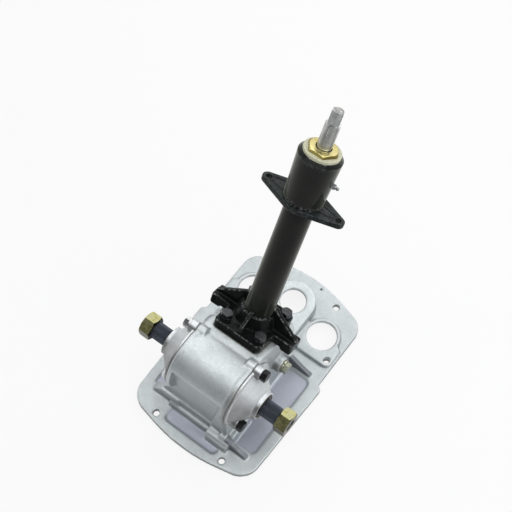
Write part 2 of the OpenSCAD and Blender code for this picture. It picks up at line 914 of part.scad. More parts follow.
module sector_tooth() {
    radii = [for (k = [0:flank_steps]) base_r + (tip_r - base_r) * k / flank_steps];
    flank = concat([root_r - over], radii);
    upper = [for (r = flank) polar(r, tooth_a(r))];
    lower = [for (k = [len(flank) - 1:-1:0]) polar(flank[k], -tooth_a(flank[k]))];
    polygon(concat(upper, lower));
}

module rocker_shaft() {
    color("lightslategray") {
        at_rocker() {
            rod_x(-spline_in, spline_in, journal_r);
            rod_x(-shoulder_x, shoulder_x, rocker_body_r);
            each_side() {
                outward(spline_in - over, spline_out) polygon(spline_ring(spline_r, spline_n, spline_depth));
                rod_x(spline_out - over, rocker_end, rocker_thread_r);
            }
        }
        at_sector() across(sector_w) sector_outline();
    }
}

module rocker_nut(s) {
    color("darkkhaki") on_side(s) at_rocker() translate([spline_out, 0, 0]) rotate([0, 90, 0]) difference() {
        hexagon(rocker_nut_af, rocker_nut_t, true);
        rod_z(-over, rocker_nut_t + over, rocker_thread_r + seat_gap);
    }
}

module rocker_nut_left() { rocker_nut(left); }

module rocker_nut_right() { rocker_nut(right); }

// Ball nut: rack in front, ball return behind
module rack_tooth() {
    half = tooth_pitch / 4 - backlash / 4;
    root_half = half + (dedendum + over) * tan(press_a);
    tip_half = half - addendum * tan(press_a);
    tip = rack_line - addendum;
    polygon([
        [rack_root + over, -root_half],
        [tip, -tip_half],
        [tip, tip_half],
        [rack_root + over, root_half]
    ]);
}

module ball_nut() {
    body_d = nut_rear - rack_root;
    color("lightsteelblue") on_column() difference() {
        union() {
            translate([0, nut_rear - body_d / 2, -nut_len / 2]) linear_extrude(height = nut_len)
                round_rect(nut_w, body_d, 4);
            across(sector_w) for (i = [0:rack_teeth - 1])
                translate([0, (i - (rack_teeth - 1) / 2) * tooth_pitch]) rack_tooth();
        }
        rod_z(-nut_len, nut_len, nut_bore_r);
        rod_z(-chamber_h, chamber_h, chamber_r);
        for (z = [-tube_leg, tube_leg]) translate([0, 0, z]) rotate([-90, 0, 0])
            rod_z(0, nut_rear + over, tube_r + seat_gap);
        for (x = [-screw_x, screw_x]) translate([x, 0, 0]) rotate([-90, 0, 0])
            rod_z(nut_rear - 5, nut_rear + over, screw_r + seat_gap);
    }
}

module nut_balls() {
    color("white") on_column() for (i = [0:ball_n - 1]) {
        turn = (i - (ball_n - 1) / 2) * ball_step;
        rotate(turn) translate([ball_circle, 0, worm_lead * turn / 360]) sphere(ball_r);
    }
}

module return_tube() {
    leg_in = chamber_r + 0.4;
    color("lightgray") on_column() {
        for (z = [-tube_leg, tube_leg]) translate([0, 0, z]) {
            rotate([-90, 0, 0]) rod_z(leg_in, tube_out, tube_r);
            translate([0, tube_out, 0]) sphere(tube_r);
        }
        translate([0, tube_out, 0]) rod_z(-tube_leg, tube_leg, tube_r);
    }
}

module tube_clamp() {
    inner = tube_r + seat_gap;
    outer = inner + clamp_t;
    color("darkgray") on_column() difference() {
        translate([0, 0, -clamp_len / 2]) linear_extrude(height = clamp_len) difference() {
            union() {
                translate([0, tube_out]) circle(outer);
                translate([-outer, nut_rear]) square([2 * outer, tube_out - nut_rear]);
                translate([-clamp_w / 2, nut_rear]) square([clamp_w, clamp_t]);
            }
            translate([0, tube_out]) circle(inner);
            translate([-outer, nut_rear - outer]) square([2 * outer, outer]);
            translate([-inner, nut_rear - over]) square([2 * inner, tube_out - nut_rear + over]);
        }
        for (x = [-screw_x, screw_x]) translate([x, 0, 0]) rotate([-90, 0, 0])
            rod_z(nut_rear - over, nut_rear + clamp_t + over, screw_r + 0.2);
    }
}

module clamp_screws() {
    seat = nut_rear + clamp_t;
    color("gray") on_column() for (x = [-screw_x, screw_x]) translate([x, seat, 0]) rotate([-90, 0, 0]) {
        cylinder(h = 2.4, r = 3.3);
        rod_z(-clamp_t - 4.5, over, screw_r);
    }
}

// Steering shaft with its worm, and the bearings of the worm
module worm() {
    outline = [for (i = [0:worm_points - 1]) polar(worm_reach(i * 360 / worm_points), i * 360 / worm_points)];
    turns = worm_len / worm_lead;
    steps = ceil(worm_slices * turns);
    rotate(-turns * 180) translate([0, 0, -worm_len / 2])
        linear_extrude(height = worm_len, twist = -360 * turns, slices = steps, $fn = worm_points)
            polygon(outline);
}

module steering_shaft() {
    upper_collar = upper_ball_z - ball_r - free_gap;
    lower_collar = lower_ball_z + ball_r + free_gap;
    color("darkgray") on_column() {
        worm();
        rod_z(lower_cup_foot + 1.5, -worm_len / 2 + over, lower_pin_r);
        rod_z(lower_collar, lower_collar + worm_collar, collar_r - 1);
        rod_z(lower_collar, -worm_len / 2 + over, lower_pin_r + 1);
        rod_z(worm_len / 2 - over, serration_z + over, shaft_r - 1.5);
        rod_z(upper_collar - worm_collar, upper_collar, collar_r);
        rod_z(upper_collar, serration_z, shaft_r);
        translate([0, 0, serration_z]) linear_extrude(height = serration_len)
            polygon(spline_ring(serration_r, serration_n, 0.8));
        rod_z(shaft_top - over, shaft_top + top_thread_len, top_thread_r);
    }
}

module race_balls(n, r, z) {
    for (i = [0:n - 1]) rotate(i * 360 / n) translate([r, 0, z]) sphere(ball_r);
}

module bearing_cup(r, z0, z1, race_r, ball_z) {
    difference() {
        ring(race_r + 1, r, z0, z1);
        rotate_extrude() translate([race_r, ball_z]) circle(ball_r + 0.2);
    }
}

module upper_bearing_cup() {
    color("gray") on_column()
        bearing_cup(upper_cup_r, base_z + 0.2, upper_cup_top, upper_race_r, upper_ball_z);
}

module upper_bearing_balls() {
    color("white") on_column() race_balls(upper_ball_n, upper_race_r, upper_ball_z);
}

module lower_bearing_cup() {
    color("gray") on_column()
        bearing_cup(lower_cup_r, lower_cup_foot, lower_cup_foot + lower_cup_h, lower_race_r, lower_ball_z);
}

module lower_bearing_balls() {
    color("white") on_column() race_balls(lower_ball_n, lower_race_r, lower_ball_z);
}

// Column: base casting, tube, panel flange and upper sleeve
module base_outline() {
    base_d = base_front + base_rear;
    translate([0, (base_rear - base_front) / 2]) round_rect(base_w, base_d, 11);
}

module column_shim() {
    shim_hole_r = nut_room_x + 9;
    color("tan") on_column() difference() {
        translate([0, 0, seat_h]) linear_extrude(height = shim_t) base_outline();
        rod_z(seat_h - over, base_z + over, shim_hole_r);
        translate([0, 0, seat_h - over]) at_base_bolts() rod_z(0, shim_t + 2 * over, base_bolt[0] + bolt_gap);
    }
}

module base_arms() {
    lug_in = case_w / 2 + 5;
    web = [
        [column_r - 2, base_t - over],
        [arm_x - 1, base_t - over],
        [arm_x - 1, base_t + 3],
        [column_r + 2, base_t + web_h],
        [column_r - 2, base_t + web_h]
    ];
    each_side() translate([0, arm_y, 0]) {
        translate([arm_x / 2, 0, 0]) linear_extrude(height = base_t) round_rect(arm_x, arm_w, 4);
        translate([(lug_in + arm_x) / 2, 0, -arm_drop]) linear_extrude(height = arm_drop + base_t)
            round_rect(arm_x - lug_in, arm_w, 4);
        along(web_t) polygon(web);
    }
}

module base_ribs() {
    rib = [
        [column_r - 2, base_t - over],
        [base_front - 8, base_t - over],
        [base_front - 8, base_t + 2],
        [column_r + 2, base_t + web_h * 0.7],
        [column_r - 2, base_t + web_h * 0.7]
    ];
    for (a = [-90, 90]) rotate(a) along(web_t - 2) polygon(rib);
}

module column_base() {
    color("#1b1e1f") on_column() translate([0, 0, base_z]) difference() {
        union() {
            linear_extrude(height = base_t) base_outline();
            translate([0, 0, base_t]) cylinder(h = hub_top - base_top, r1 = column_r + 13, r2 = column_r + 5);
            base_arms();
            base_ribs();
        }
        rod_z(tube_foot - base_z, base_t + web_h + over, column_r + seat_gap);
        rod_z(-over, upper_cup_top - base_z, upper_cup_r + seat_gap);
        rod_z(0, base_t, shaft_r + 2);
        at_base_bolts() rod_z(-over, base_t + over, base_bolt[0] + bolt_gap);
    }
}

module column_bolts() {
    head_z = base_top + base_bolt[3];
    color("#2a2c2e") on_column() translate([0, 0, head_z]) at_base_bolts()
        hex_bolt(base_bolt, head_z - seat_h + base_bolt_grip - 1);
}

module column_washers() {
    color("#3a3c3e") on_column() at_base_bolts()
        ring(base_bolt[0] + 0.2, base_bolt[2] / 2 + 0.5, base_top, base_top + base_bolt[3]);
}

module column_tube() {
    color("#1b1e1f") on_column() ring(column_r - column_wall, column_r, tube_foot, tube_top);
}

// Diamond plate: straight sides that run off the round middle and ends
module panel_outline() {
    hull() {
        circle(panel_mid_r);
        for (s = [-1, 1]) translate([s * panel_hole_x, 0]) circle(panel_end_r);
    }
}

module panel_flange() {
    color("#1b1e1f") on_column() difference() {
        translate([0, 0, panel_z]) linear_extrude(height = panel_t) panel_outline();
        rod_z(panel_z - over, panel_top + over, column_r + seat_gap);
        for (s = [-1, 1]) translate([s * panel_hole_x, 0, 0])
            rod_z(panel_z - over, panel_top + over, panel_hole_r);
    }
}

module at_nipple() {
    on_column() translate([0, 0, panel_top + nipple_h]) children();
}

module column_sleeve() {
    bevel_z = sleeve_top - sleeve_bevel;
    color("#1b1e1f") difference() {
        on_column() difference() {
            union() {
                translate([0, 0, panel_top])
                    cylinder(h = bevel_z - panel_top, r1 = sleeve_r, r2 = sleeve_head_r);
                translate([0, 0, bevel_z])
                    cylinder(h = sleeve_bevel, r1 = sleeve_head_r, r2 = sleeve_head_r - sleeve_bevel);
            }
            rod_z(panel_top - over, tube_top, column_r + seat_gap);
            rod_z(panel_top, sleeve_top + over, upper_bush_r + seat_gap);
        }
        at_nipple() rod_x(column_r, sleeve_head_r + over, 3 + seat_gap);
    }
}

module upper_bush() {
    color("peru") on_column() ring(shaft_r + running_gap, upper_bush_r, tube_top, upper_bush_top);
}

module dust_washer() {
    color("cornsilk") on_column() ring(upper_bush_r + 0.3, dust_r, sleeve_top, dust_top);
}

module bush_nut() {
    color("darkkhaki") on_column() difference() {
        union() {
            translate([0, 0, dust_top]) hexagon(hex_af, hex_t);
            rod_z(upper_bush_top, dust_top + over, upper_bush_r);
        }
        rod_z(upper_bush_top - over, hex_top + over, hex_hole_r);
    }
}

module grease_nipple() {
    face = sleeve_r + (sleeve_head_r - sleeve_r) * nipple_h / (sleeve_len - sleeve_bevel) + nipple_stand;
    color("darkkhaki") at_nipple() {
        rod_x(column_r + 1.5, face + over, 3);
        translate([face, 0, 0]) rotate([0, 90, 0]) cylinder(h = 5, r = 5.2, $fn = 6);
        cone_x(face + 4.5, face + 8, 3.2, 2.2);
        translate([face + 9.4, 0, 0]) sphere(2.9);
    }
}

module filler_plug() {
    washer_t = 1.5;
    face = case_w / 2 + filler_boss_h + washer_t;
    color("darkgray") at_filler() {
        rod_x(face - washer_t - 14, face + over, 9);
        rod_x(face, face + 3, 12.5);
        translate([face + 3, 0, 0]) rotate([0, 90, 0]) hexagon(19, 8);
    }
}

module plug_washer() {
    face = case_w / 2 + filler_boss_h;
    color("peru") at_filler() rotate([0, 90, 0]) ring(9.3, 12.5, face, face + 1.5);
}

gear_housing();
side_cover_left();
side_cover_right();
cover_gasket_left();
cover_gasket_right();
cover_bolts_left();
cover_bolts_right();
cover_washers_left();
cover_washers_right();
rocker_bush_left();
rocker_bush_right();
rocker_seal_left();
rocker_seal_right();
thrust_washers();
rocker_shaft();
rocker_nut_left();
rocker_nut_right();
ball_nut();
nut_balls();
return_tube();
tube_clamp();
clamp_screws();
steering_shaft();
upper_bearing_cup();
upper_bearing_balls();
lower_bearing_cup();
lower_bearing_balls();
column_shim();
column_base();
column_bolts();
column_washers();
column_tube();
panel_flange();
column_sleeve();
upper_bush();
dust_washer();
bush_nut();
grease_nipple();
filler_plug();
plug_washer();
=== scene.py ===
"""Looks of the steering gearbox: cast, painted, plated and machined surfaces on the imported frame."""
import json
import math

import bmesh
import bpy
from mathutils import Matrix, Vector


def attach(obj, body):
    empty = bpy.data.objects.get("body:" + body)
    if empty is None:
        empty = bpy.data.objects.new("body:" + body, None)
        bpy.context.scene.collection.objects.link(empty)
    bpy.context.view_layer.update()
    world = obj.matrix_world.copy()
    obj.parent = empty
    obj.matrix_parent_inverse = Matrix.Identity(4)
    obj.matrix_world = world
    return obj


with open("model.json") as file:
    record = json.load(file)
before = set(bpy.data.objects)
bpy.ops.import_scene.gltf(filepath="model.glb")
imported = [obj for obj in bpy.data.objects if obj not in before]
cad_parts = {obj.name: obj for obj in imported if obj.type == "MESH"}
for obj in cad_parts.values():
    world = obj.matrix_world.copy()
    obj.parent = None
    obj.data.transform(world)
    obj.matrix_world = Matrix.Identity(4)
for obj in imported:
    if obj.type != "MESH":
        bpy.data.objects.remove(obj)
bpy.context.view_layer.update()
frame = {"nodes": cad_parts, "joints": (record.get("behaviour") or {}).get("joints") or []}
nodes = frame["nodes"]
joints = {joint["name"]: joint for joint in frame["joints"]}
scene = bpy.context.scene

# axes of the rocker shaft and of the column, in metres
ROCKER = Vector(joints["rocker_turn"]["pos_m"])
WORM = Vector(joints["steering_turn"]["pos_m"])
UP_COL = Vector(joints["steering_turn"]["axis"])
REAR_COL = Vector((0, UP_COL.z, -UP_COL.y))
TILT = math.atan2(UP_COL.y, UP_COL.z)
COLUMN = Matrix(((1, 0, 0), REAR_COL, UP_COL)).transposed().to_4x4()
COLUMN.translation = WORM

# places where the finish and the painted shade of the housing change, in metres: none of it at the first,
# all at the second
PLATE_DULL_Z = (0.026, 0.020)
POCKET_SHADE_Z = (0.0117, 0.0100)
RIM_SHADE_Z = (0.0114, 0.0098)
GUSSET_SHADE_Z = (0.0128, 0.0150)
SHADED_END_X = (0.050, 0.060)
SHADED_END_Z = (0.040, 0.060)

# middles and half sizes of the gussets on the right of the plate, which are painted dark as their shade
GUSSET_X = 0.0855
GUSSET_HALF_W = 0.0240
GUSSET_FRONT_Y = -0.058
GUSSET_REAR_Y = 0.134
GUSSET_HALF_T = 0.0062

# teeth: radius at root and crest, and the stretch that they take along their shaft
SPLINE_ROOT = 0.0148
SPLINE_CREST = 0.0158
SPLINE_STRETCH = (0.1014, 0.1326)
SERRATION_ROOT = 0.0117
SERRATION_CREST = 0.0124
SERRATION_STRETCH = (0.4568, 0.4964)
TOOTH_FADE = 0.0005

# thread of the wheel nut, up the column
THREAD_R = 0.009
THREAD_LOW = 0.4985
THREAD_HIGH = 0.5190
THREAD_PITCH = 0.0020
THREAD_DEPTH = 0.00045
THREAD_SUNK = 0.0003
THREAD_STEPS = 40
THREAD_RUN_OUT = 24

# half widths of the thread's root and crest, as shares of its pitch
THREAD_ROOT_HALF = 0.46
THREAD_CREST_HALF = 0.10

# machined edges sharper than this are broken, after points this close are joined
SHARP_ANGLE = math.radians(32)
WELD_GAP = 2e-6

# camera
LENS = 82.65
AZIMUTH = math.radians(36.88)
ELEVATION = math.radians(64)
CAMERA_PLACE = Vector((0.4710, -0.5168, 2.0232))

# floor, a little under the plate
FLOOR_HALF = 30
FLOOR_Z = -0.0006
FLOOR_LIT = 0.86
FLOOR_PAINT = (0.88, 0.88, 0.88, 1)

# the dark side of the room lies in front of the object, and begins at these cosines from its middle
DARK_SIDE = (0.10, -0.98, 0.17)
DARK_FROM = 0.50
DARK_FULL = 0.72
DARK_LEVEL = (0.10, 0.10, 0.10)
SKY_LEVEL = 0.34

cam_data = bpy.data.cameras.new("camera")
cam = bpy.data.objects.new("camera", cam_data)
scene.collection.objects.link(cam)
cam_data.sensor_fit = "HORIZONTAL"
cam_data.sensor_width = 36
cam_data.lens = LENS
cam_data.clip_end = 50
right = Vector((math.cos(AZIMUTH), math.sin(AZIMUTH), 0))
flat_reach = math.cos(ELEVATION)
back = Vector((math.sin(AZIMUTH) * flat_reach, -math.cos(AZIMUTH) * flat_reach, math.sin(ELEVATION)))
pose = Matrix((right, back.cross(right), back)).transposed().to_4x4()
pose.translation = CAMERA_PLACE
cam.matrix_world = pose
scene.camera = cam
scene.view_settings.view_transform = "Standard"


# node helpers
def times(colour, by):
    """A colour made darker or paler."""
    return tuple(min(1.0, c * by) for c in colour)


def rgba(colour):
    """A colour with its alpha. A node's output stays as it is."""
    if isinstance(colour, bpy.types.NodeSocket) or len(colour) == 4:
        return colour
    return (*colour, 1)


class Nodes:
    """Adds nodes to a tree. put() makes one node, then sets or links its inputs."""

    def __init__(self, tree):
        self.tree = tree
        tree.nodes.clear()

    def put(self, kind, inputs=None, **settings):
        node = self.tree.nodes.new(kind)
        for key, value in settings.items():
            setattr(node, key, value)
        for key, value in (inputs or {}).items():
            if isinstance(value, bpy.types.NodeSocket):
                self.tree.links.new(value, node.inputs[key])
            else:
                node.inputs[key].default_value = value
        return node

    def calc(self, how, a, b):
        return self.put("ShaderNodeMath", {0: a, 1: b}, operation=how).outputs[0]

    def ramp(self, fac, *stops):
        node = self.put("ShaderNodeValToRGB", {"Fac": fac})
        line = node.color_ramp
        while len(line.elements) < len(stops):
            line.elements.new(0.5)
        for point, (at, colour) in zip(line.elements, stops):
            point.position = at
            point.color = rgba(colour)
        return node.outputs["Color"]

    def rays(self):
        """Camera rays, and all rays that see a backdrop: camera, glossy and transmission."""
        path = self.put("ShaderNodeLightPath").outputs
        mirrored = self.calc("MAXIMUM", path["Is Glossy Ray"], path["Is Transmission Ray"])
        return path["Is Camera Ray"], self.calc("MAXIMUM", path["Is Camera Ray"], mirrored)


class Shade(Nodes):
    """The nodes of one material, in the coordinates of the frame."""

    def __init__(self, name):
        self.mat = bpy.data.materials.new(name)
        self.mat.use_nodes = True
        super().__init__(self.mat.node_tree)
        self.out = self.put("ShaderNodeOutputMaterial")
        self.where = self.put("ShaderNodeTexCoord").outputs["Object"]

    def noise(self, scale, detail, rough=0.55, where=None):
        inputs = {"Vector": where or self.where, "Scale": scale, "Detail": detail, "Roughness": rough}
        return self.put("ShaderNodeTexNoise", inputs).outputs["Fac"]

    def spots(self, scale):
        return self.put("ShaderNodeTexVoronoi", {"Vector": self.where, "Scale": scale}).outputs["Distance"]

    def span(self, value, a, b, c=0.0, d=1.0):
        """Takes a value from the range a to b to the range c to d, and no further."""
        inputs = {"Value": value, "From Min": a, "From Max": b, "To Min": c, "To Max": d}
        return self.put("ShaderNodeMapRange", inputs).outputs["Result"]

    def mix(self, fac, a, b):
        node = self.put("ShaderNodeMix", {0: fac, 6: rgba(a), 7: rgba(b)}, data_type="RGBA")
        return node.outputs[2]

    def axis(self, k):
        """One of the three coordinates of the frame, in metres."""
        return self.put("ShaderNodeSeparateXYZ", {"Vector": self.where}).outputs[k]

    def facing(self, k=2):
        """How far the true surface faces along an axis of the frame."""
        normal = self.put("ShaderNodeNewGeometry").outputs["Normal"]
        return self.put("ShaderNodeSeparateXYZ", {"Vector": normal}).outputs[k]

    def unsigned(self, value):
        return self.put("ShaderNodeMath", {0: value}, operation="ABSOLUTE").outputs[0]

    def near(self, value, middle, half):
        """1 where a value is within half of the middle, and 0 elsewhere."""
        return self.put("ShaderNodeMath", {0: value, 1: middle, 2: half}, operation="COMPARE").outputs[0]

    def all_of(self, *parts):
        out = parts[0]
        for part in parts[1:]:
            out = self.calc("MULTIPLY", out, part)
        return out

    def about(self, place, turn):
        """Coordinates in a frame of the part's own, and the distance from that frame's Z axis."""
        inputs = {"Vector": self.where, "Location": place, "Rotation": turn}
        local = self.put("ShaderNodeMapping", inputs, vector_type="TEXTURE").outputs["Vector"]
        flat = self.put("ShaderNodeVectorMath", {0: local, 1: (1, 1, 0)}, operation="MULTIPLY")
        reach = self.put("ShaderNodeVectorMath", {0: flat.outputs["Vector"]}, operation="LENGTH")
        return local, reach.outputs["Value"]

    def stretched(self, where, scale, turn=(0, 0, 0)):
        """Streaks: noise drawn out along one axis."""
        inputs = {"Vector": where, "Rotation": turn, "Scale": scale}
        return self.noise(1.0, 3, 0.6, self.put("ShaderNodeMapping", inputs).outputs["Vector"])

    def edge(self):
        """Above a half on outer edges, below it in corners."""
        return self.put("ShaderNodeNewGeometry").outputs["Pointiness"]

    def bump(self, height, distance, strength, normal=None):
        inputs = {"Height": height, "Distance": distance, "Strength": strength}
        if normal:
            inputs["Normal"] = normal
        return self.put("ShaderNodeBump", inputs).outputs["Normal"]

    def roughness(self, cloud, band, patch, share):
        """Roughness that wanders within a band, and rises by a share on a patch."""
        return self.calc("ADD", self.span(cloud, 0.3, 0.7, *band), self.calc("MULTIPLY", patch, share))

    def done(self, **inputs):
        names = {
            "colour": "Base Color", "rough": "Roughness", "metal": "Metallic", "normal": "Normal",
            "coat": "Coat Weight", "coat_rough": "Coat Roughness", "spec": "Specular IOR Level",
            "sheen": "Sheen Weight", "sheen_rough": "Sheen Roughness", "sheen_tint": "Sheen Tint",
        }
        shader = self.put("ShaderNodeBsdfPrincipled", {names[k]: v for k, v in inputs.items()})
        self.tree.links.new(shader.outputs["BSDF"], self.out.inputs["Surface"])
        return self.mat


# materials
def plate_marks(s, colour, shade, cloud):
    """Finish of the housing's plate: dull top and brush marks, with painted shade: lilac in the pockets,
    dark on the gussets and along the rims.
    """
    x, y, z = s.axis(0), s.axis(1), s.axis(2)
    top = s.span(s.facing(), 0.80, 0.97)
    patchy = s.span(cloud, 0.2, 0.6, 0.6, 0.95)
    colour = s.mix(s.all_of(top, s.span(z, *PLATE_DULL_Z, 0, 0.8)), colour, times(shade, 0.88))
    # painted shade: the floors of the pockets are tinted lilac, as if in shadow
    pocket_shade = s.all_of(s.span(z, *POCKET_SHADE_Z), top)
    colour = s.mix(s.all_of(pocket_shade, patchy), colour, (0.390, 0.405, 0.490))
    # painted shade: the gussets on the right are darkened, as if in shadow
    front_gusset = s.near(y, GUSSET_FRONT_Y, GUSSET_HALF_T)
    rear_gusset = s.near(y, GUSSET_REAR_Y, GUSSET_HALF_T)
    gusset_shade = s.all_of(s.near(x, GUSSET_X, GUSSET_HALF_W), s.span(z, *GUSSET_SHADE_Z),
                       s.calc("MAXIMUM", front_gusset, rear_gusset))
    colour = s.mix(s.all_of(gusset_shade, s.span(cloud, 0.25, 0.6, 0.6, 0.95)), colour, (0.105, 0.115, 0.140))
    # painted shade: the plate's sideways-facing edges are darkened into a dark outline
    rim_shade = s.all_of(s.span(z, *RIM_SHADE_Z), s.span(s.facing(), 0.62, 0.30))
    colour = s.mix(s.all_of(rim_shade, patchy), colour, (0.085, 0.085, 0.080))
    streak = s.stretched(s.where, (60, 900, 300), (0, 0, 0.45))
    return s.mix(s.all_of(top, s.span(streak, 0.5, 0.7, 0, 0.32)), colour, times(shade, 0.60))


def cast_paint(name, base, shade, grain=1.0, plate=False):
    """Aluminium paint brushed over a sand casting, with painted shade in its corners, on its undersides
    and on its front.
    """
    s = Shade(name)
    cloud = s.noise(55, 5, 0.6)
    fine = s.noise(620, 3, 0.7)
    mottle = s.noise(230, 3, 0.6)
    colour = s.mix(s.span(s.noise(14, 3), 0.35, 0.65), base, shade)
    colour = s.mix(s.span(mottle, 0.50, 0.66, 0, 0.17), colour, times(shade, 0.62))
    colour = s.mix(s.span(mottle, 0.48, 0.34, 0, 0.17), colour, times(base, 1.22))
    if plate:
        colour = plate_marks(s, colour, shade, cloud)
    colour = s.mix(s.span(cloud, 0.5, 0.72, 0, 0.25), colour, times(shade, 0.80))
    colour = s.mix(s.span(fine, 0.54, 0.70, 0, 0.45), colour, times(base, 0.50))
    # painted shade: darker where the casting faces down
    underside_shade = s.span(s.facing(), 0.30, -0.55, 0, 0.62)
    colour = s.mix(underside_shade, colour, (0.20, 0.205, 0.190))
    # lighter outer edges, where the paint wears
    lighter_edges = s.span(s.edge(), 0.515, 0.56, 0, 0.45)
    colour = s.mix(lighter_edges, colour, (0.74, 0.75, 0.74))
    # painted shade: darker in corners and creases
    corner_shade = s.all_of(s.span(s.edge(), 0.49, 0.44), s.span(cloud, 0.3, 0.7, 0.45, 1.0))
    colour = s.mix(corner_shade, colour, (0.12, 0.12, 0.122))
    # painted shade: darker on front-facing sides, on the housing only at its right end
    front_shade = s.all_of(s.span(s.facing(1), -0.15, -0.60, 0, 0.85), s.span(cloud, 0.25, 0.6, 0.8, 1.0))
    if plate:
        front_shade = s.all_of(front_shade, s.span(s.axis(0), *SHADED_END_X), s.span(s.axis(2), *SHADED_END_Z))
    colour = s.mix(front_shade, colour, (0.190, 0.186, 0.182))
    normal = s.bump(s.noise(150, 4, 0.6), 0.0005, 0.35 * grain)
    normal = s.bump(fine, 0.00035, 0.55 * grain, normal)
    normal = s.bump(s.span(s.spots(420), 0.0, 0.25), 0.0002, 0.25 * grain, normal)
    return s.done(colour=colour, rough=s.span(cloud, 0.3, 0.7, 0.38, 0.52), metal=0.6, normal=normal)


def black_gloss(name, dust=0.08, lumps=0.55, wear_and_glint=0.9, spec=0.10, sheen=0.05):
    """Glossy black enamel, lumpy from the brush, with a trace of dust, and light chips on its edges that
    are partly worn paint and partly painted glints.
    """
    s = Shade(name)
    cloud = s.noise(38, 5, 0.6)
    fine = s.noise(480, 4, 0.65)
    colour = s.mix(s.span(cloud, 0.35, 0.7), (0.0026, 0.0034, 0.0034), (0.0065, 0.0072, 0.0066))
    film = s.all_of(s.span(s.facing(), 0.2, 0.95, 0, dust), s.span(s.noise(60, 4), 0.30, 0.80))
    colour = s.mix(film, colour, (0.060, 0.088, 0.088))
    if wear_and_glint:
        # light chips on edges: worn paint, and painted glints in place of reflections
        chips_and_glints = s.span(s.noise(210, 5, 0.7), 0.48, 0.59)
        lighter_edges = s.all_of(s.span(s.edge(), 0.512, 0.56, 0, wear_and_glint), chips_and_glints)
        colour = s.mix(lighter_edges, colour, (0.42, 0.44, 0.44))
    rough = s.roughness(cloud, (0.07, 0.16), film, 0.6)
    normal = s.bump(s.noise(120, 3), 0.0010, lumps)
    normal = s.bump(fine, 0.00012, 0.3, normal)
    return s.done(colour=colour, rough=rough, normal=normal, spec=spec, coat=0.06, coat_rough=0.06,
                  sheen=sheen, sheen_rough=0.42, sheen_tint=(0.92, 0.96, 0.78, 1))


def plated(name, low, middle, high, facet_shade=None):
    """Zinc or brass plating: cloudy colour, fine draw marks, dull patches, and painted shade on facets
    that face down or sideways.
    """
    s = Shade(name)
    cloud = s.noise(95, 5, 0.6)
    colour = s.ramp(cloud, (0.28, low), (0.5, middle), (0.74, high))
    dull = s.span(s.noise(340, 5, 0.7), 0.55, 0.75, 0, 0.5)
    colour = s.mix(dull, colour, times(middle, 0.55))
    if facet_shade:
        # painted shade: facets that face down or sideways are darkened
        sideways = s.span(s.unsigned(s.facing(0)), 0.15, 0.45)
        facet_shade_mask = s.calc("MAXIMUM", s.span(s.facing(), 0.70, 0.20), sideways)
        facet_shade_mask = s.calc("ADD", facet_shade_mask, s.span(cloud, 0.3, 0.7, -0.12, 0.12))
        colour = s.mix(s.span(facet_shade_mask, 0.0, 1.0, 0, 0.93), colour, facet_shade)
    rough = s.roughness(cloud, (0.20, 0.34), dull, 0.3)
    normal = s.bump(s.noise(1600, 2, 0.5), 0.0001, 0.2)
    normal = s.bump(s.noise(300, 4, 0.6), 0.0002, 0.25, normal)
    return s.done(colour=colour, rough=rough, metal=1.0, normal=normal)


def steel(name, light, dark, rough=(0.26, 0.42)):
    """Machined or oiled steel, with faint stains."""
    s = Shade(name)
    cloud = s.noise(120, 5, 0.65)
    colour = s.mix(s.span(cloud, 0.3, 0.7), light, dark)
    stain = s.span(s.noise(260, 6, 0.7), 0.58, 0.74, 0, 0.15)
    colour = s.mix(stain, colour, times(dark, 0.5))
    normal = s.bump(s.noise(700, 3, 0.6), 0.00012, 0.3)
    return s.done(colour=colour, rough=s.roughness(cloud, rough, stain, 0.5), metal=0.95, normal=normal)


def toothed(name, place, turn, root, crest, stretch, light, dark, rough=(0.30, 0.44)):
    """Steel with painted shade in the roots of its teeth, and the same dark on the thread past them."""
    s = Shade(name)
    local, reach = s.about(place, turn)
    along = s.unsigned(s.put("ShaderNodeSeparateXYZ", {"Vector": local}).outputs[2])
    start, end = stretch
    cloud = s.noise(120, 5, 0.65)
    colour = s.mix(s.span(cloud, 0.3, 0.7), light, times(light, 0.78))
    within = s.all_of(s.span(along, start - TOOTH_FADE, start), s.span(along, end + TOOTH_FADE, end))
    # painted shade in the roots of the teeth, and the same dark on the tip past them
    dark_roots_and_tip = s.all_of(s.span(reach, crest, root), within)
    dark_roots_and_tip = s.calc("MAXIMUM", dark_roots_and_tip, s.span(along, end, end + TOOTH_FADE))
    colour = s.mix(s.all_of(dark_roots_and_tip, s.span(cloud, 0.2, 0.6, 0.5, 0.8)), colour, dark)
    streak = s.stretched(local, (170, 170, 9))
    colour = s.mix(s.span(streak, 0.46, 0.66, 0, 0.75), colour, dark)
    colour = s.mix(s.span(streak, 0.44, 0.30, 0, 0.55), colour, times(light, 1.5))
    stain = s.span(s.noise(260, 6, 0.7), 0.55, 0.74, 0, 0.4)
    colour = s.mix(stain, colour, times(light, 0.5))
    normal = s.bump(s.noise(700, 3, 0.6), 0.00012, 0.3)
    return s.done(colour=colour, rough=s.roughness(cloud, rough, dark_roots_and_tip, 0.25), metal=0.85, normal=normal)


def dull_sheet(name, a, b, rough=0.75):
    """Paper, fibre or plastic: mottled and matt."""
    s = Shade(name)
    colour = s.mix(s.span(s.noise(300, 5, 0.65), 0.3, 0.7), a, b)
    normal = s.bump(s.noise(1200, 3, 0.6), 0.0002, 0.4)
    return s.done(colour=colour, rough=rough, normal=normal)


silver = cast_paint("silver_casting", (0.575, 0.615, 0.622), (0.510, 0.550, 0.565), plate=True)
